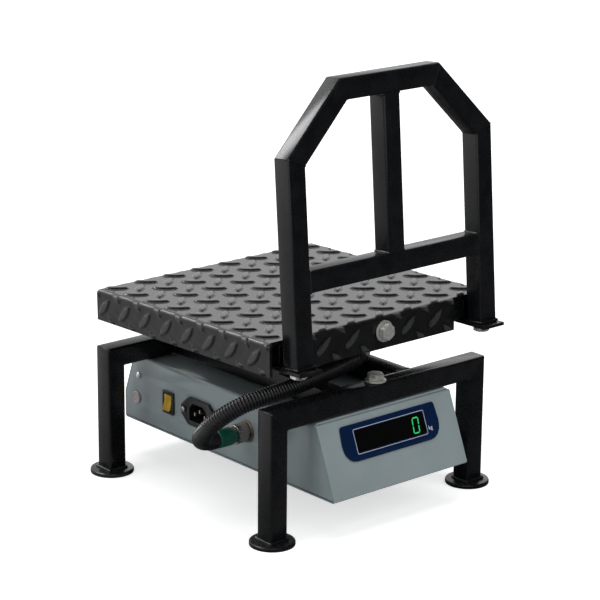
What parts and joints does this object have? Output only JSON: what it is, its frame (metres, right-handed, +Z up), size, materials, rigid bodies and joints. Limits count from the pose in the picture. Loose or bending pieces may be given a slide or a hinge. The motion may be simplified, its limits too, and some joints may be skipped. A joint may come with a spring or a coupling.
{
  "type": "animal weighing scale",
  "caption": "Compact animal weighing platform: chequered steel pan with a raised head guard on a load cell, over a black tube stand that straddles a sloping indicator box with digital display.",
  "frame": {"origin": "on the floor under the middle of the outline that the scale has without its cell cable", "axes": "+Z up, -Y towards the operator at the display and the head guard, +X to the right of someone who faces the display"},
  "size_m": [0.2807, 0.2941, 0.3958],
  "materials": {
    "black_paint": "satin black powder coat on steel tube and flat bar",
    "chequered_plate": "dark grey paint on folded chequered steel plate, rubbed paler on top",
    "grey_enamel": "pale blue-grey semi-gloss enamel on folded sheet steel",
    "zinc_plate": "bright zinc plate",
    "mild_steel": "plain mild steel",
    "blackened_steel": "blackened high-tensile steel",
    "aluminium": "machined aluminium",
    "black_plastic": "black moulded plastic",
    "amber_plastic": "translucent amber, dark when off",
    "navy_film": "printed navy film under a clear gloss",
    "dark_window": "dark tinted window",
    "circuit_board": "green solder mask",
    "dull_nickel": "aged nickel plate with a bronze cast",
    "bright_nickel": "satin nickel plate",
    "green_plastic": "dark green moulded plastic",
    "rose_plastic": "pale rose-grey plastic"
  },
  "bodies": {
    "base": {"front_left_foot": "black_paint", "front_right_foot": "black_paint", "rear_left_foot": "black_paint", "rear_right_foot": "black_paint", "front_left_leg": "black_paint", "front_right_leg": "black_paint", "rear_left_leg": "black_paint", "rear_right_leg": "black_paint", "front_bar": "black_paint", "rear_bar": "black_paint", "left_rail": "black_paint", "right_rail": "black_paint", "hanger_front_bolt": "zinc_plate", "hanger_front_washer": "zinc_plate", "hanger_rear_bolt": "zinc_plate", "hanger_rear_washer": "zinc_plate", "cell_lower_plate": "mild_steel", "cell_lower_screw_1": "blackened_steel", "cell_lower_screw_2": "blackened_steel", "load_cell": "aluminium", "cell_gland": "bright_nickel", "conduit": "black_plastic", "box_body": "grey_enamel", "box_chassis": "grey_enamel", "main_board": "circuit_board", "display_overlay": "navy_film", "display_window": "dark_window", "digit_block": "black_plastic", "switch_bezel": "black_plastic", "inlet_body": "black_plastic", "inlet_front_screw": "zinc_plate", "inlet_rear_screw": "zinc_plate", "cell_socket": "dull_nickel", "cell_socket_nut": "dull_nickel", "cell_plug": "green_plastic", "hole_plug": "rose_plastic", "wall_screw": "grey_enamel"},
    "platform": {"weighing_pan": "chequered_plate", "pan_bolt": "zinc_plate", "pan_washer": "zinc_plate", "frame_front_tube": "black_paint", "frame_rear_tube": "black_paint", "frame_left_tube": "black_paint", "frame_right_tube": "black_paint", "guard_left_bar": "black_paint", "guard_right_bar": "black_paint", "guard_left_leg": "black_paint", "guard_right_leg": "black_paint", "guard_left_brace": "black_paint", "guard_right_brace": "black_paint", "guard_top_bar": "black_paint", "guard_crossbar": "black_paint", "guard_post": "black_paint", "guard_left_bolt": "zinc_plate", "guard_right_bolt": "zinc_plate", "cell_upper_plate": "mild_steel", "cell_upper_screw_1": "blackened_steel", "cell_upper_screw_2": "blackened_steel"},
    "rocker": {"switch_rocker": "amber_plastic"},
    "ring": {"coupling_ring": "bright_nickel"}
  },
  "joints": [
    {"name": "platform_deflection", "type": "slide", "parent": "base", "child": "platform", "axis": [0, 0, 1], "range_m": [-0.0002, 0], "stiffness_N_per_m": 600000},
    {"name": "power_rocker", "type": "hinge", "parent": "base", "child": "rocker", "pos_m": [-0.0791, 0.08035, 0.0683], "axis": [0, -1, 0], "range_deg": [0, 20]},
    {"name": "ring_turn", "type": "hinge", "parent": "base", "child": "ring", "pos_m": [-0.088, -0.03015, 0.071], "axis": [-1, 0, 0], "continuous": true}
  ]
}
